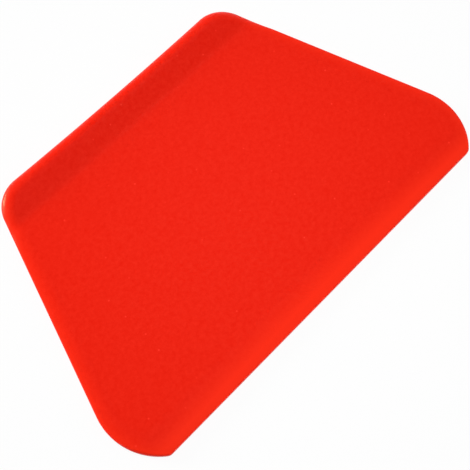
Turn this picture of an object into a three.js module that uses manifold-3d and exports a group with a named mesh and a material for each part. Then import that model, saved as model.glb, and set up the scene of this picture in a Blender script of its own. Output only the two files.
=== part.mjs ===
// Dough scraper: a trapezoid hand card, made as two soft sheets pressed round a stiff core.
// Millimetres, +Z up. The card lies on its flat back. X runs along the working edge, Y from the
// working edge to the grip, and the origin is under the middle of the card.

import * as THREE from "three";
import { mergeVertices } from "three/addons/utils/BufferGeometryUtils.js";
import Module from "manifold-3d";

const wasm = await Module();
wasm.setup();

// Plan of the card
const cardWidth = 150; // across the two working corners, its widest place
const cardLength = 96.2; // from the working edge to the ends of the grip edge
const sideLean = THREE.MathUtils.degToRad(18.4); // each side leans in towards the grip
const workCornerRadius = 20.5;
const workCornerTrim = 4; // how much of that rounding the straight working edge cuts away
const tipRadius = 2.5; // between that rounding and the straight working edge
const gripCornerRadius = 11.2;
const gripHollow = 0.53; // dip of the grip edge at its middle

// Section of the card
const bladeThickness = 2.6;
const lipThickness = 1.9; // at the working edge
const lipWidth = 9; // the stretch that thins to the working edge
const gripWidth = 14; // the flared bead along the grip edge
const gripCrease = 2.4; // hollow fillet where the bead leaves the blade
const gripSlope = 0.26; // rise of the bead's flank for each millimetre towards the grip edge
const gripRimReach = 6; // the rounded crest of the bead, measured in from the grip edge
const gripRimDrop = 4.4; // how far that crest rounds down at the grip edge
const rimFall = 0.5; // soft fall of the face towards the sides
const rimWidth = 5; // the stretch that falls
const edgeRadius = 0.8; // rounding of the upper edge on the sides
const lipRadius = 0.3; // rounding of the upper edge along the working edge
const backRadius = 0.3; // rounding of the lower edge
const leastWall = 0.2; // upright wall that is left under every rounding

// Core inside the jacket
const backThickness = 0.8; // soft sheet under the core, up to the parting plane
const coreThickness = 0.6;
const coreSetback = 6; // from the sides and the grip edge
const coreLipSetback = 14; // from the working edge, so that the lip stays flexible
const coreCornerRadius = 8;
const coreGap = 0.3; // round the core in its pocket
const coreHeadroom = 0.05; // over the core in its pocket
const keyHoleRadius = 3;
const keyPitch = 20;
const keyMargin = 6; // from the rim of a keying hole to the core's edge
const pegGap = 0.3; // round a peg in its keying hole
const pegRoot = 0.3; // how deep a peg starts in the back sheet

// Fineness of the surfaces
const cornerSteps = 11;
const tipSteps = 5;
const lipSteps = 7;
const creaseSteps = 3;
const edgeSteps = 4;
const rimSteps = 3;
const innerSteps = 5;
const holeSteps = 16;
const leastRow = 0.06; // rows of the surface lie at least this far apart

// Places that follow from the sizes above
const quarterTurn = Math.PI / 2;
const yWork = -cardLength / 2;
const yGrip = cardLength / 2;
const sideNormal = new THREE.Vector2(Math.cos(sideLean), Math.sin(sideLean));
const workCentre = new THREE.Vector2(
  cardWidth / 2 - workCornerRadius,
  yWork + workCornerRadius - workCornerTrim,
);
const sideReach = workCentre.dot(sideNormal) + workCornerRadius;
const gripCentre = cornerCentre(sideReach, yGrip - gripCornerRadius, gripCornerRadius);
const tipCentre = tangentTip();
const tipAngle = angleFrom(workCentre, tipCentre);
const bladeEnd = yGrip - gripWidth;
const coreReach = sideReach - coreSetback;
const coreLow = yWork + coreLipSetback;
const coreHigh = yGrip - coreSetback;

// Centre of a corner rounding that touches the side line lying at the given reach.
function cornerCentre(reach, y, radius) {
  const x = (reach - radius - y * sideNormal.y) / sideNormal.x;
  return new THREE.Vector2(x, y);
}

// Centre of the tip rounding, which touches the working corner from inside and the working edge.
function tangentTip() {
  const y = yWork + tipRadius;
  const x = workCentre.x + legOf(workCornerRadius - tipRadius, y - workCentre.y);
  return new THREE.Vector2(x, y);
}

// Half the card's width at a height y of its plan.
function halfWidth(y) {
  if (y < workCentre.y + workCornerRadius * Math.sin(tipAngle)) {
    return tipCentre.x + legOf(tipRadius, y - tipCentre.y);
  }
  if (y < workCentre.y + workCornerRadius * sideNormal.y) {
    return workCentre.x + legOf(workCornerRadius, y - workCentre.y);
  }
  if (y < gripCentre.y + gripCornerRadius * sideNormal.y) {
    return (sideReach - y * sideNormal.y) / sideNormal.x;
  }
  return gripCentre.x + legOf(gripCornerRadius, y - gripCentre.y);
}

function legOf(hypotenuse, leg) {
  return Math.sqrt(Math.max(0, hypotenuse * hypotenuse - leg * leg));
}

// Distance in to the sides and the grip edge, as if the working corners were rounded in full.
function sideDistance(x, y) {
  const point = new THREE.Vector2(Math.abs(x), y);
  if (isBetween(point, gripCentre, sideLean, quarterTurn)) {
    return gripCornerRadius - point.distanceTo(gripCentre);
  }
  if (isBetween(point, workCentre, -quarterTurn, sideLean)) {
    return workCornerRadius - point.distanceTo(workCentre);
  }
  const toSide = sideReach - point.dot(sideNormal);
  const toLow = y - (workCentre.y - workCornerRadius);
  return Math.min(toSide, yGrip - y, toLow);
}

// Distance in to the outline, with the straight working edge and its rounded tips.
function edgeDistance(x, y) {
  const point = new THREE.Vector2(Math.abs(x), y);
  if (isBetween(point, tipCentre, -quarterTurn, tipAngle)) {
    return tipRadius - point.distanceTo(tipCentre);
  }
  return Math.min(sideDistance(x, y), y - yWork);
}

// True where a point, seen from a corner's centre, lies between two angles.
function isBetween(point, centre, lowAngle, highAngle) {
  const angle = angleFrom(centre, point);
  return angle > lowAngle && angle < highAngle;
}

function angleFrom(centre, point) {
  return Math.atan2(point.y - centre.y, point.x - centre.x);
}

// Depth of a rounding, a quarter of an ellipse, at a distance in from its edge.
function roundDepth(reach, drop, distance) {
  const left = Math.max(0, 1 - distance / reach);
  return drop * (1 - legOf(1, left));
}

// Rise of the grip bead over the blade: a hollow crease, then a straight flank.
function beadRise(y) {
  const along = Math.max(0, y - bladeEnd);
  if (along < gripCrease) {
    return (gripSlope * along * along) / (2 * gripCrease);
  }
  return gripSlope * (along - gripCrease / 2);
}

// Square of what is left of a stretch, for soft falls: 1 at its edge and 0 at its end.
function leftShare(distance, width) {
  const left = Math.max(0, 1 - distance / width);
  return left * left;
}

// Height of the photographed face over the back.
function faceHeight(x, y) {
  const lipShare = leftShare(y - yWork, lipWidth);
  const lipFall = (bladeThickness - lipThickness) * lipShare;
  const sideFall = rimFall * leftShare(sideDistance(x, y), rimWidth);
  const height = bladeThickness + beadRise(y) - Math.hypot(lipFall, sideFall);
  const beadShare = Math.min(1, beadRise(y + gripRimReach) / beadRise(yGrip));
  const edge = edgeRadius + (lipRadius - edgeRadius) * lipShare;
  const reach = edge + (gripRimReach - edgeRadius) * beadShare;
  const drop = edge + (gripRimDrop - edgeRadius) * beadShare;
  const mostDrop = height - backThickness - leastWall;
  return height - roundDepth(reach, Math.min(drop, mostDrop), edgeDistance(x, y));
}

// Height of the back, which is flat up to its rounded edge.
function backHeight(x, y) {
  return roundDepth(backRadius, backRadius, edgeDistance(x, y));
}

function partingHeight() {
  return backThickness;
}

// Evenly spaced values from one number to another, both included.
function spread(from, to, steps) {
  return Array.from({ length: steps + 1 }, (_, i) => from + ((to - from) * i) / steps);
}

// Heights of the plan at which the card is cut into sections: closer where the outline or face bends.
function sectionRows() {
  const tipRows = spread(-quarterTurn, tipAngle, tipSteps).map(
    (angle) => tipCentre.y + tipRadius * Math.sin(angle),
  );
  const workRows = spread(tipAngle, sideLean, cornerSteps).map(
    (angle) => workCentre.y + workCornerRadius * Math.sin(angle),
  );
  const gripRows = spread(sideLean, quarterTurn, cornerSteps).map(
    (angle) => gripCentre.y + gripCornerRadius * Math.sin(angle),
  );
  const lipRows = spread(yWork, yWork + lipWidth, lipSteps);
  const creaseRows = spread(bladeEnd, bladeEnd + gripCrease, creaseSteps);
  const rows = [...tipRows, ...workRows, ...lipRows, ...creaseRows, ...gripRows];
  const kept = [yWork];
  for (const y of rows.sort((a, b) => a - b)) {
    if (y - kept.at(-1) > leastRow && yGrip - y > leastRow) {
      kept.push(y);
    }
  }
  kept.push(yGrip);
  return kept;
}

// Places across one section, from the left side to the right: closer along the rounded rims.
function sectionPlaces(y) {
  const edgeInsets = spread(0, quarterTurn, edgeSteps).map((angle) => edgeRadius * (1 - Math.cos(angle)));
  const rimInsets = spread(edgeRadius, gripRimReach, rimSteps).slice(1);
  const half = halfWidth(y);
  const outer = [...edgeInsets, ...rimInsets].map((inset) => half - inset / sideNormal.x);
  const inner = spread(outer.at(-1), 0, innerSteps).slice(1, -1);
  const right = [...outer, ...inner];
  return [...right.map((x) => -x), 0, ...right.reverse()];
}

// The grip edge and its bead dip towards the middle of the card.
function dippedY(x, y) {
  const across = Math.min(1, Math.abs(x) / gripCentre.x);
  const along = Math.max(0, (y - bladeEnd) / gripWidth);
  return y - gripHollow * (1 - across * across) * along * along;
}

// A closed sheet over the card's plan, lofted through its sections between two height laws.
function cardSheet(lowAt, highAt) {
  const sections = sectionRows().map((y) => sectionPlaces(y).map((x) => ({ x, y })));
  const points = sections.flat();
  const across = sections[0].length;
  const positions = [];
  for (const heightAt of [lowAt, highAt]) {
    for (const { x, y } of points) {
      positions.push(x, dippedY(x, y), heightAt(x, y));
    }
  }
  const low = (row, place) => row * across + place;
  const high = (row, place) => points.length + low(row, place);
  const triangles = [];
  const addQuad = (a, b, c, d) => triangles.push(a, b, c, a, c, d);
  const lastRow = sections.length - 1;
  const lastPlace = across - 1;
  for (let row = 0; row < lastRow; row++) {
    for (let place = 0; place < lastPlace; place++) {
      addQuad(high(row, place), high(row, place + 1), high(row + 1, place + 1), high(row + 1, place));
      addQuad(low(row, place), low(row + 1, place), low(row + 1, place + 1), low(row, place + 1));
    }
    addQuad(low(row, lastPlace), low(row + 1, lastPlace), high(row + 1, lastPlace), high(row, lastPlace));
    addQuad(low(row + 1, 0), low(row, 0), high(row, 0), high(row + 1, 0));
  }
  for (let place = 0; place < lastPlace; place++) {
    addQuad(low(0, place), low(0, place + 1), high(0, place + 1), high(0, place));
    addQuad(low(lastRow, place + 1), low(lastRow, place), high(lastRow, place), high(lastRow, place + 1));
  }
  const geometry = new THREE.BufferGeometry();
  geometry.setAttribute("position", new THREE.Float32BufferAttribute(positions, 3));
  geometry.setIndex(triangles);
  return geometry;
}

// The core's outline, let out by a clearance where its pocket is meant.
function coreOutline(clearance) {
  const radius = coreCornerRadius + clearance;
  const reach = coreReach + clearance;
  const low = cornerCentre(reach, coreLow - clearance + radius, radius);
  const high = cornerCentre(reach, coreHigh + clearance - radius, radius);
  const outline = new THREE.Shape();
  outline.absarc(low.x, low.y, radius, -quarterTurn, sideLean);
  outline.absarc(high.x, high.y, radius, sideLean, quarterTurn);
  outline.absarc(-high.x, high.y, radius, quarterTurn, Math.PI - sideLean);
  outline.absarc(-low.x, low.y, radius, Math.PI - sideLean, Math.PI + quarterTurn);
  outline.closePath();
  return outline;
}

// Centres of the keying holes: staggered rows that fill the core up to its margin.
function keyingCentres() {
  const margin = keyMargin + keyHoleRadius;
  const rowCount = Math.max(1, Math.floor((coreHigh - coreLow - 2 * margin) / keyPitch));
  const centres = [];
  spread(coreLow + margin, coreHigh - margin, rowCount).forEach((y, row) => {
    const reachX = cornerCentre(coreReach, y, margin).x;
    const first = row % 2 === 0 ? 0 : keyPitch / 2;
    for (let x = first; x <= reachX; x += keyPitch) {
      centres.push(new THREE.Vector2(x, y));
      if (x > 0) {
        centres.push(new THREE.Vector2(-x, y));
      }
    }
  });
  return centres;
}

// A closed geometry as a solid that can be cut and joined, and back again.
function toSolid(geometry) {
  geometry.deleteAttribute("normal");
  geometry.deleteAttribute("uv");
  const merged = mergeVertices(geometry);
  return new wasm.Manifold(
    new wasm.Mesh({
      numProp: 3,
      vertProperties: merged.attributes.position.array,
      triVerts: new Uint32Array(merged.index.array),
    }),
  );
}

function toGeometry(solid) {
  const mesh = solid.getMesh();
  const geometry = new THREE.BufferGeometry();
  geometry.setAttribute("position", new THREE.Float32BufferAttribute(mesh.vertProperties, 3));
  geometry.setIndex(Array.from(mesh.triVerts));
  geometry.computeVertexNormals();
  return geometry;
}

// Stiffener: a thin sheet, pierced so that the two soft sheets can bond through it.
function corePlate() {
  const outline = coreOutline(0);
  for (const centre of keyingCentres()) {
    const hole = new THREE.Path();
    hole.absarc(centre.x, centre.y, keyHoleRadius, 0, 2 * Math.PI);
    outline.holes.push(hole);
  }
  const geometry = new THREE.ExtrudeGeometry(outline, {
    depth: coreThickness,
    bevelEnabled: false,
    curveSegments: holeSteps,
  });
  return geometry.translate(0, 0, backThickness);
}

// Upper sheet: the face with its bead, lip and rims, hollowed underneath for the core.
function upperSkin() {
  const pocket = new THREE.ExtrudeGeometry(coreOutline(coreGap), {
    depth: backThickness + coreThickness + coreHeadroom,
    bevelEnabled: false,
    curveSegments: holeSteps,
  });
  return toGeometry(toSolid(cardSheet(partingHeight, faceHeight)).subtract(toSolid(pocket)));
}

// Lower sheet: the flat back, with a peg for each keying hole of the core.
function lowerSkin() {
  let solid = toSolid(cardSheet(backHeight, partingHeight));
  const pegRadius = keyHoleRadius - pegGap;
  const pegHeight = pegRoot + coreThickness;
  for (const centre of keyingCentres()) {
    const peg = new THREE.CylinderGeometry(pegRadius, pegRadius, pegHeight, holeSteps);
    peg.rotateX(quarterTurn);
    peg.translate(centre.x, centre.y, backThickness - pegRoot + pegHeight / 2);
    solid = solid.add(toSolid(peg));
  }
  return toGeometry(solid);
}

function redSilicone() {
  return new THREE.MeshStandardMaterial({ color: 0xf02616, roughness: 0.55, metalness: 0 });
}

function stainlessSheet() {
  return new THREE.MeshStandardMaterial({ color: 0xb9bcc0, roughness: 0.35, metalness: 1 });
}

function namedMesh(name, geometry, material) {
  const mesh = new THREE.Mesh(geometry, material);
  mesh.name = name;
  return mesh;
}

const scraper = new THREE.Group();
scraper.add(namedMesh("upper_skin", upperSkin(), redSilicone()));
scraper.add(namedMesh("core_plate", corePlate(), stainlessSheet()));
scraper.add(namedMesh("lower_skin", lowerSkin(), redSilicone()));

export default scraper;
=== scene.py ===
"""Dough scraper: a trapezoid hand card of soft red silicone on a stiff core, lying on its flat back."""

import math

import bmesh
import bpy
import numpy as np
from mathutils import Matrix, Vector


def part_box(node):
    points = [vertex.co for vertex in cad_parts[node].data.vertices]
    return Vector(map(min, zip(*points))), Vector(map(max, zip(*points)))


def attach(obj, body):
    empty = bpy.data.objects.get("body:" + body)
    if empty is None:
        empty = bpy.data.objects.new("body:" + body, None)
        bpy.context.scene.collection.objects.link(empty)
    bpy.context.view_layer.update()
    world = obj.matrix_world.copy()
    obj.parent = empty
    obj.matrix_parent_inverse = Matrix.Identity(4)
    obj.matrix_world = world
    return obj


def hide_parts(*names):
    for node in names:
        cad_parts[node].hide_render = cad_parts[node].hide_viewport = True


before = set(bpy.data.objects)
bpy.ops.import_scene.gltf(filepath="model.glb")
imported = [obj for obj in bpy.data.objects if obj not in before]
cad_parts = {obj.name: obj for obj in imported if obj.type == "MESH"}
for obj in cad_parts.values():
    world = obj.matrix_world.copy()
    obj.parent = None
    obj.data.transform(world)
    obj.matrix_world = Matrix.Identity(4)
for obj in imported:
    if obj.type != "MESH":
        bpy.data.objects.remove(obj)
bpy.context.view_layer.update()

MM = 0.001

# Plan of the card, in metres, with its width and its length from the frame
face_low, face_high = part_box("upper_skin")
CARD_WIDTH = face_high.x - face_low.x
Y_WORK = face_low.y
Y_GRIP = face_high.y
SIDE_LEAN = math.radians(18.4)
WORK_CORNER_RADIUS = 20.5 * MM
WORK_CORNER_TRIM = 4 * MM
TIP_RADIUS = 2.5 * MM
GRIP_CORNER_RADIUS = 11.2 * MM
GRIP_HOLLOW = 0.53 * MM

# Section of the card, with the parting plane of its two sheets from the frame
PARTING = face_low.z
BLADE_THICKNESS = 2.6 * MM
LIP_THICKNESS = 1.9 * MM
LIP_WIDTH = 9 * MM
GRIP_WIDTH = 14 * MM
GRIP_CREASE = 2.4 * MM
GRIP_SLOPE = 0.26
GRIP_RIM_REACH = 6 * MM
GRIP_RIM_DROP = 4.4 * MM
RIM_FALL = 0.5 * MM
RIM_WIDTH = 5 * MM
EDGE_RADIUS = 0.8 * MM
LIP_RADIUS = 0.3 * MM
BACK_RADIUS = 0.3 * MM
SEAM_RADIUS = 0.08 * MM
LEAST_WALL = 0.2 * MM

# Core inside the jacket, with its place from the frame
core_low, core_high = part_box("core_plate")
CORE_SETBACK = 6 * MM
CORE_CORNER_RADIUS = 8 * MM
CORE_GAP = 0.3 * MM
CORE_HEADROOM = 0.05 * MM
KEYING_RADIUS = 3 * MM
KEYING_PITCH = 20 * MM
KEYING_MARGIN = 6 * MM
PEG_GAP = 0.3 * MM
PEG_ROOT = 0.3 * MM

# Fineness of the surfaces
TIP_STEPS = 14
CORNER_STEPS = 30
LIP_STEPS = 18
BLADE_STEPS = 24
CREASE_STEPS = 8
FLANK_STEPS = 10
EDGE_STEPS = 9
RIM_STEPS = 12
INNER_STEPS = 24
ARC_STEPS = 16
PEG_STEPS = 32
LEAST_ROW = 0.01 * MM
WELD_DISTANCE = 0.001 * MM
SHARP_ANGLE = math.radians(40)

# Places that follow from the sizes
QUARTER_TURN = math.pi / 2
SIDE_NORMAL = np.array([math.cos(SIDE_LEAN), math.sin(SIDE_LEAN)])
WORK_CENTRE = np.array([
    CARD_WIDTH / 2 - WORK_CORNER_RADIUS,
    Y_WORK + WORK_CORNER_RADIUS - WORK_CORNER_TRIM,
])
SIDE_REACH = WORK_CENTRE @ SIDE_NORMAL + WORK_CORNER_RADIUS
CORE_REACH = SIDE_REACH - CORE_SETBACK
BLADE_END = Y_GRIP - GRIP_WIDTH


def corner_centre(reach, y, radius):
    """Centre of a corner rounding that touches the side line lying at the given reach."""
    x = (reach - radius - y * SIDE_NORMAL[1]) / SIDE_NORMAL[0]
    return np.array([x, y])


def leg_of(hypotenuse, leg):
    """The other leg of a right triangle, or 0 where the first one is too long."""
    return np.sqrt(np.maximum(0, hypotenuse**2 - leg**2))


GRIP_CENTRE = corner_centre(SIDE_REACH, Y_GRIP - GRIP_CORNER_RADIUS, GRIP_CORNER_RADIUS)
TIP_Y = Y_WORK + TIP_RADIUS
TIP_CENTRE = np.array([
    WORK_CENTRE[0] + leg_of(WORK_CORNER_RADIUS - TIP_RADIUS, WORK_CENTRE[1] - TIP_Y),
    TIP_Y,
])
TIP_ANGLE = math.atan2(TIP_Y - WORK_CENTRE[1], TIP_CENTRE[0] - WORK_CENTRE[0])


def half_width(y):
    """Half the card's width at a height y of its plan."""
    if y < WORK_CENTRE[1] + WORK_CORNER_RADIUS * math.sin(TIP_ANGLE):
        return TIP_CENTRE[0] + leg_of(TIP_RADIUS, y - TIP_CENTRE[1])
    if y < WORK_CENTRE[1] + WORK_CORNER_RADIUS * SIDE_NORMAL[1]:
        return WORK_CENTRE[0] + leg_of(WORK_CORNER_RADIUS, y - WORK_CENTRE[1])
    if y < GRIP_CENTRE[1] + GRIP_CORNER_RADIUS * SIDE_NORMAL[1]:
        return (SIDE_REACH - y * SIDE_NORMAL[1]) / SIDE_NORMAL[0]
    return GRIP_CENTRE[0] + leg_of(GRIP_CORNER_RADIUS, y - GRIP_CENTRE[1])


def is_between(x, y, low_angle, high_angle):
    """True where a direction lies between two angles."""
    angle = np.arctan2(y, x)
    return (angle > low_angle) & (angle < high_angle)


def side_distance(x, y):
    """Distance in to the sides and the grip edge, as if the working corners were rounded in full."""
    x = np.abs(x)
    to_side = SIDE_REACH - x * SIDE_NORMAL[0] - y * SIDE_NORMAL[1]
    to_low = y - (WORK_CENTRE[1] - WORK_CORNER_RADIUS)
    distance = np.minimum(np.minimum(to_side, Y_GRIP - y), to_low)
    in_work = is_between(x - WORK_CENTRE[0], y - WORK_CENTRE[1], -QUARTER_TURN, SIDE_LEAN)
    to_work = WORK_CORNER_RADIUS - np.hypot(x - WORK_CENTRE[0], y - WORK_CENTRE[1])
    in_grip = is_between(x - GRIP_CENTRE[0], y - GRIP_CENTRE[1], SIDE_LEAN, QUARTER_TURN)
    to_grip = GRIP_CORNER_RADIUS - np.hypot(x - GRIP_CENTRE[0], y - GRIP_CENTRE[1])
    return np.where(in_grip, to_grip, np.where(in_work, to_work, distance))


def edge_distance(x, y):
    """Distance in to the outline, with the straight working edge and its rounded tips."""
    distance = np.minimum(side_distance(x, y), y - Y_WORK)
    x = np.abs(x)
    in_tip = is_between(x - TIP_CENTRE[0], y - TIP_CENTRE[1], -QUARTER_TURN, TIP_ANGLE)
    to_tip = TIP_RADIUS - np.hypot(x - TIP_CENTRE[0], y - TIP_CENTRE[1])
    return np.where(in_tip, to_tip, distance)


def round_depth(reach, drop, distance):
    """Depth of a rounding, a quarter of an ellipse, at a distance in from its edge."""
    left = np.clip(1 - distance / reach, 0, 1)
    return drop * (1 - leg_of(1, left))


def bead_rise(y):
    """Rise of the grip bead over the blade: a hollow crease, then a straight flank."""
    along = np.maximum(0, y - BLADE_END)
    crease = GRIP_SLOPE * along**2 / (2 * GRIP_CREASE)
    flank = GRIP_SLOPE * (along - GRIP_CREASE / 2)
    return np.where(along < GRIP_CREASE, crease, flank)


def bead_share(y):
    """Share of the bead's full rounding that the rim has: 0 along the blade and 1 on the grip edge."""
    return np.minimum(1, bead_rise(y + GRIP_RIM_REACH) / bead_rise(Y_GRIP))


def left_share(distance, width):
    """Square of what is left of a stretch, for soft falls: 1 at its edge and 0 at its end."""
    return np.maximum(0, 1 - distance / width) ** 2


def face_height(x, y):
    """Height of the photographed face over the back."""
    lip_share = left_share(y - Y_WORK, LIP_WIDTH)
    lip_fall = (BLADE_THICKNESS - LIP_THICKNESS) * lip_share
    side_fall = RIM_FALL * left_share(side_distance(x, y), RIM_WIDTH)
    height = BLADE_THICKNESS + bead_rise(y) - np.hypot(lip_fall, side_fall)
    radius = EDGE_RADIUS + (LIP_RADIUS - EDGE_RADIUS) * lip_share
    reach = radius + (GRIP_RIM_REACH - EDGE_RADIUS) * bead_share(y)
    drop = radius + (GRIP_RIM_DROP - EDGE_RADIUS) * bead_share(y)
    most_drop = height - PARTING - LEAST_WALL
    return height - round_depth(reach, np.minimum(drop, most_drop), edge_distance(x, y))


def back_height(x, y):
    """Height of the back, which is flat up to its rounded edge."""
    return round_depth(BACK_RADIUS, BACK_RADIUS, edge_distance(x, y))


def seam_depth(x, y):
    """Depth of the hairline groove where the two sheets meet round the edge."""
    return round_depth(SEAM_RADIUS, SEAM_RADIUS, edge_distance(x, y))


def face_underside(x, y):
    """Height of the face sheet's lower side, which is flat up to the groove."""
    return PARTING + seam_depth(x, y)


def back_topside(x, y):
    """Height of the back sheet's upper side, which is flat up to the groove."""
    return PARTING - seam_depth(x, y)


def spread(start, end, steps):
    """Evenly spaced values from one number to another, both included."""
    return np.linspace(start, end, steps + 1)


def section_rows():
    """Heights of the plan at which the card is cut into sections: closer where it bends."""
    tip_rows = TIP_Y + TIP_RADIUS * np.sin(spread(-QUARTER_TURN, TIP_ANGLE, TIP_STEPS))
    work_angles = spread(TIP_ANGLE, SIDE_LEAN, CORNER_STEPS)
    work_rows = WORK_CENTRE[1] + WORK_CORNER_RADIUS * np.sin(work_angles)
    grip_angles = spread(SIDE_LEAN, QUARTER_TURN, CORNER_STEPS)
    grip_rows = GRIP_CENTRE[1] + GRIP_CORNER_RADIUS * np.sin(grip_angles)
    lip_rows = spread(Y_WORK, Y_WORK + LIP_WIDTH, LIP_STEPS)
    blade_rows = spread(Y_WORK + LIP_WIDTH, BLADE_END, BLADE_STEPS)
    crease_rows = spread(BLADE_END, BLADE_END + GRIP_CREASE, CREASE_STEPS)
    flank_rows = spread(BLADE_END + GRIP_CREASE, Y_GRIP, FLANK_STEPS)
    rows = [tip_rows, work_rows, lip_rows, blade_rows, crease_rows, flank_rows, grip_rows]
    kept = [Y_WORK]
    for y in np.sort(np.concatenate(rows)):
        if y - kept[-1] > LEAST_ROW and Y_GRIP - y > LEAST_ROW:
            kept.append(y)
    kept.append(Y_GRIP)
    return kept


def section_places(y):
    """Places across one section, from the left side to the right: closer along the rims."""
    edge_insets = EDGE_RADIUS * (1 - np.cos(spread(0, QUARTER_TURN, EDGE_STEPS)))
    rim_insets = spread(EDGE_RADIUS, GRIP_RIM_REACH, RIM_STEPS)[1:]
    outer = half_width(y) - np.concatenate([edge_insets, rim_insets]) / SIDE_NORMAL[0]
    inner = spread(outer[-1], 0, INNER_STEPS)[1:]
    right = np.concatenate([outer, inner])
    return np.concatenate([-right, right[-2::-1]])


def dipped_y(x, y):
    """Place along the card of a point of the plan: the grip edge and its bead dip at their middle."""
    across = np.minimum(1, np.abs(x) / GRIP_CENTRE[0])
    along = np.maximum(0, (y - BLADE_END) / GRIP_WIDTH)
    return y - GRIP_HOLLOW * (1 - across**2) * along**2


def new_object(name, data):
    """A new object in the scene, which holds a mesh, a lamp or a camera."""
    made = bpy.data.objects.new(name, data)
    bpy.context.scene.collection.objects.link(made)
    return made


def card_sheet(name, low_at, high_at):
    """A closed sheet over the card's plan, lofted through its sections between two height laws."""
    rows = section_rows()
    x = np.array([section_places(y) for y in rows])
    y = np.repeat(np.array(rows)[:, None], x.shape[1], axis=1)
    plan_y = dipped_y(x, y)
    layers = [np.stack([x, plan_y, height_at(x, y)], axis=-1) for height_at in (low_at, high_at)]
    low = np.arange(x.size).reshape(x.shape)
    high = low + x.size
    faces = []

    def add_strip(a, b, c, d):
        faces.extend(np.stack([a, b, c, d], axis=-1).reshape(-1, 4).tolist())

    add_strip(high[:-1, :-1], high[:-1, 1:], high[1:, 1:], high[1:, :-1])
    add_strip(low[:-1, :-1], low[1:, :-1], low[1:, 1:], low[:-1, 1:])
    add_strip(low[:-1, -1], low[1:, -1], high[1:, -1], high[:-1, -1])
    add_strip(low[1:, 0], low[:-1, 0], high[:-1, 0], high[1:, 0])
    add_strip(low[0, :-1], low[0, 1:], high[0, 1:], high[0, :-1])
    add_strip(low[-1, 1:], low[-1, :-1], high[-1, :-1], high[-1, 1:])
    mesh = bpy.data.meshes.new(name)
    mesh.from_pydata(np.concatenate(layers).reshape(-1, 3).tolist(), [], faces)
    return new_object(name, mesh)


# Hidden fit of the core between the sheets
def arc(centre, radius, start, end, steps):
    """Points on an arc, with both its ends."""
    angles = spread(start, end, steps)
    return centre + radius * np.stack([np.cos(angles), np.sin(angles)], axis=-1)


def pocket_outline():
    """The core's outline, let out by its gap."""
    radius = CORE_CORNER_RADIUS + CORE_GAP
    reach = CORE_REACH + CORE_GAP
    low = corner_centre(reach, core_low.y - CORE_GAP + radius, radius)
    high = corner_centre(reach, core_high.y + CORE_GAP - radius, radius)
    right = np.concatenate([
        arc(low, radius, -QUARTER_TURN, SIDE_LEAN, ARC_STEPS),
        arc(high, radius, SIDE_LEAN, QUARTER_TURN, ARC_STEPS),
    ])
    left = right[::-1] * (-1, 1)
    return np.concatenate([right, left])


def keying_centres():
    """Centres of the core's keying holes: staggered rows that fill it up to its margin."""
    margin = KEYING_MARGIN + KEYING_RADIUS
    row_count = max(1, int((core_high.y - core_low.y - 2 * margin) / KEYING_PITCH))
    centres = []
    for row, y in enumerate(spread(core_low.y + margin, core_high.y - margin, row_count)):
        reach_x = corner_centre(CORE_REACH, y, margin)[0]
        first = KEYING_PITCH / 2 if row % 2 else 0
        for x in np.arange(first, reach_x, KEYING_PITCH):
            centres.append((x, y))
            if x > 0:
                centres.append((-x, y))
    return centres


def prisms(name, outlines, low, high):
    """Closed upright prisms over plan outlines, as one object."""
    maker = bmesh.new()
    for outline in outlines:
        base = [maker.verts.new((x, y, low)) for x, y in outline]
        top = [maker.verts.new((x, y, high)) for x, y in outline]
        maker.faces.new(base[::-1])
        maker.faces.new(top)
        for i in range(len(base)):
            maker.faces.new((base[i - 1], base[i], top[i], top[i - 1]))
    mesh = bpy.data.meshes.new(name)
    maker.to_mesh(mesh)
    maker.free()
    return new_object(name, mesh)


def combine(piece, tool, operation):
    """Cut or join a tool solid, which is then thrown away, and weld the points that fall on one place."""
    modifier = piece.modifiers.new(tool.name, "BOOLEAN")
    modifier.operation = operation
    modifier.solver = "EXACT"
    modifier.object = tool
    graph = bpy.context.evaluated_depsgraph_get()
    mesh = bpy.data.meshes.new_from_object(piece.evaluated_get(graph))
    welder = bmesh.new()
    welder.from_mesh(mesh)
    bmesh.ops.remove_doubles(welder, verts=welder.verts, dist=WELD_DISTANCE)
    welder.to_mesh(mesh)
    welder.free()
    piece.modifiers.clear()
    piece.data = mesh
    bpy.data.objects.remove(tool)


def face_piece():
    """The photographed face, with a shallow pocket underneath for the core."""
    piece = card_sheet("face_sheet", face_underside, face_height)
    pocket_top = core_high.z + CORE_HEADROOM
    combine(piece, prisms("pocket", [pocket_outline()], back_height(0, 0), pocket_top), "DIFFERENCE")
    return piece


def back_piece():
    """The flat back, with a peg for each keying hole of the core."""
    piece = card_sheet("back_sheet", back_height, back_topside)
    radius = KEYING_RADIUS - PEG_GAP
    circles = [arc(centre, radius, 0, 2 * math.pi, PEG_STEPS)[1:] for centre in keying_centres()]
    combine(piece, prisms("pegs", circles, PARTING - PEG_ROOT, core_high.z), "UNION")
    return piece


# Materials, with their colours in linear light
SILICONE_DEEP = (0.761, 0.0066, 0, 1)
SILICONE_FACE = (0.822, 0.0179, 0.0055, 1)
# Painted light: a paler red for the lip and the edges, standing in for light shining through thin
# silicone
SILICONE_PAINTED_LIT = (1, 0.0252, 0.0064, 1)
DUST = (1, 0.045, 0.025, 1)
DUST_RADIUS = 0.4 * MM
DUST_CELL = 8 * MM
DUST_SHARE = 0.4
MOTTLE_SIZE = 1.4 * MM
MOTTLE_DETAIL = 4
MOTTLE_FALLOFF = 0.8
MOTTLE_RANGE = (0.3, 0.7)
GRAIN_SIZE = 0.7 * MM
GRAIN_DETAIL = 3
GRAIN_FALLOFF = 0.5
GRAIN_DEPTH = 0.04 * MM
SILICONE_ROUGHNESS = (0.42, 0.34)
SILICONE_SPECULAR = 0.09
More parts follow.
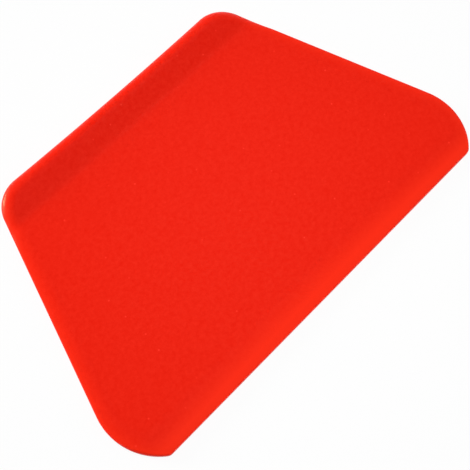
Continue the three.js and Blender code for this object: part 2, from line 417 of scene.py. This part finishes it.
# Where the painted light lies: strongest along the lip and its tips, then the rims, a little on the
# blade, none on the bead
LIT_RIM_WIDTH = 5.5 * MM
LIT_RIM_SHARE = 0.8
LIT_LIP_WIDTH = 10 * MM
LIT_TIP_WIDTH = 6.5 * MM
LIT_LIP_GAIN = 1.67
LIT_LIP_POWER = 1.5
LIT_BLADE_SHARE = 0.12
LIT_BEAD_RISE = 0.6 * MM
STEEL_DARK = (0.5, 0.51, 0.52, 1)
STEEL_LIGHT = (0.68, 0.69, 0.7, 1)
STEEL_ROUGHNESS = (0.22, 0.4)
BRUSH_LENGTH = 60 * MM
BRUSH_WIDTH = 0.3 * MM
BRUSH_DETAIL = 4
BRUSH_FALLOFF = 0.5
BRUSH_DEPTH = 0.005 * MM

# Sockets of a mix node that stand for its factor and its colours
MIX_FACTOR = 0
MIX_FIRST = 6
MIX_SECOND = 7
MIX_RESULT = 2


def add_node(tree, kind, inputs=None, **settings):
    """A shader node with its settings. An input is a value, or the output socket that feeds it."""
    node = tree.nodes.new(kind)
    for name, value in settings.items():
        setattr(node, name, value)
    for name, value in (inputs or {}).items():
        if isinstance(value, bpy.types.NodeSocket):
            tree.links.new(value, node.inputs[name])
        else:
            node.inputs[name].default_value = value
    return node


def new_material(name):
    """A new material, with its node tree and its main shader."""
    material = bpy.data.materials.new(name)
    material.use_nodes = True
    return material, material.node_tree, material.node_tree.nodes["Principled BSDF"]


def mix_colours(tree, factor, first, second):
    """A colour between two colours, each of them a value or an output socket."""
    inputs = {MIX_FACTOR: factor, MIX_FIRST: first, MIX_SECOND: second}
    return add_node(tree, "ShaderNodeMix", inputs, data_type="RGBA").outputs[MIX_RESULT]


def map_range(tree, value, start, end, low, high):
    """A value carried from one range to another, and held within it."""
    inputs = {"Value": value, "From Min": start, "From Max": end, "To Min": low, "To Max": high}
    return add_node(tree, "ShaderNodeMapRange", inputs).outputs[0]


def noise(tree, place, size, detail, falloff):
    """Noise between 0 and 1: features of about the given size, with finer and weaker ones on them."""
    inputs = {"Vector": place, "Scale": 1 / size, "Detail": detail, "Roughness": falloff}
    return add_node(tree, "ShaderNodeTexNoise", inputs).outputs["Fac"]


def dust_mask(tree, place):
    """Sparse round specks, strong and faint: a spot at the middle of some cells of an uneven grid."""
    cells = add_node(
        tree, "ShaderNodeTexVoronoi", {"Vector": place, "Scale": 1 / DUST_CELL}, voronoi_dimensions="2D"
    )
    spot = map_range(tree, cells.outputs["Distance"], 0, DUST_RADIUS / DUST_CELL, 1, 0)
    lot = add_node(tree, "ShaderNodeSeparateColor", {"Color": cells.outputs["Color"]})
    strength = map_range(tree, lot.outputs[0], 0, DUST_SHARE, 1, 0)
    mask = add_node(tree, "ShaderNodeMath", {0: spot, 1: strength}, operation="MULTIPLY")
    return mask.outputs[0]


def red_silicone():
    """Satin red silicone: faintly mottled, finely grained, with a little dust; painted light makes lip
    and edges paler.
    """
    material, tree, shader = new_material("red_silicone")
    place = add_node(tree, "ShaderNodeTexCoord").outputs["Object"]
    grain = noise(tree, place, GRAIN_SIZE, GRAIN_DETAIL, GRAIN_FALLOFF)
    mottle = noise(tree, place, MOTTLE_SIZE, MOTTLE_DETAIL, MOTTLE_FALLOFF)
    mottle = map_range(tree, mottle, *MOTTLE_RANGE, 0, 1)
    painted_light = add_node(tree, "ShaderNodeAttribute", attribute_name="painted_light_share").outputs["Fac"]
    colour = mix_colours(tree, mottle, SILICONE_DEEP, SILICONE_FACE)
    # Painted light: the colour turns paler towards the lip and the edges
    colour = mix_colours(tree, painted_light, colour, SILICONE_PAINTED_LIT)
    colour = mix_colours(tree, dust_mask(tree, place), colour, DUST)
    relief = add_node(tree, "ShaderNodeBump", {"Height": grain, "Strength": 1, "Distance": GRAIN_DEPTH})
    tree.links.new(colour, shader.inputs["Base Color"])
    tree.links.new(map_range(tree, mottle, 0, 1, *SILICONE_ROUGHNESS), shader.inputs["Roughness"])
    tree.links.new(relief.outputs[0], shader.inputs["Normal"])
    shader.inputs["Specular IOR Level"].default_value = SILICONE_SPECULAR
    return material


def brushed_steel():
    """Stainless sheet with brush lines across the card, which a stretched mapping brings to size."""
    material, tree, shader = new_material("brushed_steel")
    place = add_node(tree, "ShaderNodeTexCoord").outputs["Object"]
    stretch = (1 / BRUSH_LENGTH, 1 / BRUSH_WIDTH, 1 / BRUSH_WIDTH)
    along = add_node(tree, "ShaderNodeMapping", {"Vector": place, "Scale": stretch}).outputs[0]
    lines = noise(tree, along, 1, BRUSH_DETAIL, BRUSH_FALLOFF)
    relief = add_node(tree, "ShaderNodeBump", {"Height": lines, "Strength": 1, "Distance": BRUSH_DEPTH})
    tree.links.new(mix_colours(tree, lines, STEEL_DARK, STEEL_LIGHT), shader.inputs["Base Color"])
    tree.links.new(map_range(tree, lines, 0, 1, *STEEL_ROUGHNESS), shader.inputs["Roughness"])
    tree.links.new(relief.outputs[0], shader.inputs["Normal"])
    shader.inputs["Metallic"].default_value = 1
    return material


def mark_painted_light(piece):
    """Share of painted light at each point, which makes the colour paler: 0 on the bead, low on the
    blade, high along every edge.
    """
    mesh = piece.data
    place = np.empty(len(mesh.vertices) * 3)
    mesh.vertices.foreach_get("co", place)
    x, y, _ = place.reshape(-1, 3).T
    outwards = (2 * x / CARD_WIDTH) ** 2
    lip_width = LIT_LIP_WIDTH + (LIT_TIP_WIDTH - LIT_LIP_WIDTH) * outwards
    lip_left = np.clip(1 - (y - Y_WORK) / lip_width, 0, 1)
    lip = np.minimum(1, LIT_LIP_GAIN * lip_left**LIT_LIP_POWER)
    # Painted light along the rims, also on the rims that face away from the key lamp
    rim = LIT_RIM_SHARE * left_share(side_distance(x, y), LIT_RIM_WIDTH)
    # A little painted light on the blade and none on the bead, so that the bead reads darker
    blade = LIT_BLADE_SHARE * (1 - np.minimum(1, bead_rise(y) / LIT_BEAD_RISE))
    painted_light_share = 1 - (1 - lip) * (1 - rim) * (1 - blade)
    attribute = mesh.attributes.new("painted_light_share", "FLOAT", "POINT")
    attribute.data.foreach_set("value", painted_light_share.astype(np.float32))


# Pieces on the frame: two finer sheets in place of the skins, and the core as it is
silicone = red_silicone()
for piece, node in ((face_piece(), "upper_skin"), (back_piece(), "lower_skin")):
    piece.data.shade_smooth()
    piece.data.set_sharp_from_angle(angle=SHARP_ANGLE)
    # Painted light along the lip and the edges, stored on the mesh for the material
    mark_painted_light(piece)
    piece.data.materials.clear()
    piece.data.materials.append(silicone)
    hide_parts(node)
    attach(piece, "root")

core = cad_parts["core_plate"]
core.data.materials.clear()
core.data.materials.append(brushed_steel())

# Stage, with its lengths in metres
FLOOR_SIZE = 1.7
FLOOR_DROP = 0.05 * MM
FLOOR_WHITE = (0.9, 0.9, 0.9, 1)
FLOOR_ROUGHNESS = 0.9
FLOOR_GLOW = 0.92
SKY_WHITE = (1, 1, 1, 1)
BACKDROP_LEVEL = 1


def backdrop_rays(tree):
    """1 for rays that show the backdrop to the camera, in gloss or through glass, 0 for rays of light."""
    path = add_node(tree, "ShaderNodeLightPath")
    shown = path.outputs["Is Camera Ray"]
    for kind in ("Is Glossy Ray", "Is Transmission Ray"):
        either = add_node(tree, "ShaderNodeMath", {0: shown, 1: path.outputs[kind]}, operation="MAXIMUM")
        shown = either.outputs[0]
    return shown


def white_floor():
    """A white floor that glows for the camera and in reflections, and keeps a faint shadow."""
    material, tree, shader = new_material("white_floor")
    shader.inputs["Base Color"].default_value = FLOOR_WHITE
    shader.inputs["Roughness"].default_value = FLOOR_ROUGHNESS
    shader.inputs["Specular IOR Level"].default_value = 0
    glow = add_node(tree, "ShaderNodeEmission", {"Strength": BACKDROP_LEVEL})
    share = map_range(tree, backdrop_rays(tree), 0, 1, 0, FLOOR_GLOW)
    mixed = add_node(tree, "ShaderNodeMixShader", {0: share, 1: shader.outputs[0], 2: glow.outputs[0]})
    tree.links.new(mixed.outputs[0], tree.nodes["Material Output"].inputs["Surface"])
    return material


floor_mesh = bpy.data.meshes.new("floor")
floor_maker = bmesh.new()
bmesh.ops.create_grid(floor_maker, x_segments=1, y_segments=1, size=FLOOR_SIZE / 2)
floor_maker.to_mesh(floor_mesh)
floor_maker.free()
floor = new_object("floor", floor_mesh)
floor.location.z = -FLOOR_DROP
floor.data.materials.append(white_floor())

# Light, with distances and lamp sizes in metres
MIDDLE = Vector((0, 0, 0))
WORLD_LEVEL = 0.26
KEY_DIRECTION = Vector((-0.41, 0.88, 0.24)).normalized()
KEY_DISTANCE = 1.1
KEY_SIZE = 0.5
KEY_WATTS = 11.7
FILL_DIRECTION = Vector((0.75, -0.6, 0.27)).normalized()
FILL_DISTANCE = 1.1
FILL_SIZE = 1.0
FILL_WATTS = 5.4
TOP_TARGET = Vector((-1, -9, 0)) * MM
TOP_DIRECTION = Vector((-0.02, -0.01, 1)).normalized()
TOP_DISTANCE = 0.6
TOP_SIZE = 0.2
TOP_WATTS = 0.147
TOP_SPREAD = math.radians(50)
SHEEN_DIRECTION = Vector((0.262, 0.254, 0.931)).normalized()
SHEEN_DISTANCE = 0.6
SHEEN_SIZE = 0.2
SHEEN_WATTS = 0.16
GLINT_TARGET = Vector((-GRIP_CENTRE[0], GRIP_CENTRE[1], BLADE_THICKNESS / 2))
GLINT_DIRECTION = Vector((-0.44, 0.88, 0)).normalized()
GLINT_DISTANCE = 0.6
GLINT_SIZE = 0.03
GLINT_HEIGHT = 2 * MM
GLINT_WATTS = 0.0024
GLINT_COLOUR = (1, 0.64, 0.36)
GLINT_SPREAD = math.radians(3)


def aim(thing, place, target):
    """Put a lamp or a camera at a place, and turn it to its target."""
    thing.location = place
    thing.rotation_euler = (target - place).to_track_quat("-Z", "Y").to_euler()


def soft_lamp(name, target, direction, distance, size, watts, in_gloss=False):
    """A soft lamp, round unless it is reshaped, that lights the surfaces or shows only in their gloss."""
    lamp = bpy.data.lights.new(name, "AREA")
    lamp.shape = "DISK"
    lamp.size = size
    lamp.energy = watts
    holder = new_object(name, lamp)
    holder.visible_camera = False
    holder.visible_diffuse = not in_gloss
    holder.visible_glossy = in_gloss
    aim(holder, target + direction * distance, target)
    return holder


soft_lamp("key_lamp", MIDDLE, KEY_DIRECTION, KEY_DISTANCE, KEY_SIZE, KEY_WATTS)
soft_lamp("fill_lamp", MIDDLE, FILL_DIRECTION, FILL_DISTANCE, FILL_SIZE, FILL_WATTS)
top_lamp = soft_lamp("top_lamp", TOP_TARGET, TOP_DIRECTION, TOP_DISTANCE, TOP_SIZE, TOP_WATTS)
top_lamp.data.spread = TOP_SPREAD
soft_lamp("sheen_lamp", MIDDLE, SHEEN_DIRECTION, SHEEN_DISTANCE, SHEEN_SIZE, SHEEN_WATTS, in_gloss=True)
# A low strip behind the left grip corner, under the level of the face, so that only the rim shows it
glint_lamp = soft_lamp(
    "glint_lamp", GLINT_TARGET, GLINT_DIRECTION, GLINT_DISTANCE, GLINT_SIZE, GLINT_WATTS, in_gloss=True
)
glint_lamp.data.shape = "RECTANGLE"
glint_lamp.data.size_y = GLINT_HEIGHT
glint_lamp.data.spread = GLINT_SPREAD
glint_lamp.data.color = GLINT_COLOUR

world = bpy.data.worlds.new("studio")
world.use_nodes = True
bpy.context.scene.world = world
sky = world.node_tree.nodes["Background"]
sky_rays = backdrop_rays(world.node_tree)
sky_level = map_range(world.node_tree, sky_rays, 0, 1, WORLD_LEVEL, BACKDROP_LEVEL)
world.node_tree.links.new(sky_level, sky.inputs["Strength"])
sky.inputs["Color"].default_value = SKY_WHITE

# Camera, at the angle of the photograph
IMAGE_SIZE = 470
FOCAL_PIXELS = 970
CAMERA_AZIMUTH = math.radians(-45.863)
CAMERA_ELEVATION = math.radians(68.611)
CAMERA_DISTANCE = 300.6 * MM
CAMERA_TARGET = Vector((-5.472, -14.171, 0)) * MM

camera = bpy.data.cameras.new("camera")
camera.sensor_fit = "HORIZONTAL"
camera.lens = camera.sensor_width * FOCAL_PIXELS / IMAGE_SIZE
camera_holder = new_object("camera", camera)
towards_camera = Vector((
    math.sin(CAMERA_AZIMUTH) * math.cos(CAMERA_ELEVATION),
    -math.cos(CAMERA_AZIMUTH) * math.cos(CAMERA_ELEVATION),
    math.sin(CAMERA_ELEVATION),
))
aim(camera_holder, CAMERA_TARGET + towards_camera * CAMERA_DISTANCE, CAMERA_TARGET)
bpy.context.scene.camera = camera_holder

bpy.context.scene.view_settings.view_transform = "Standard"
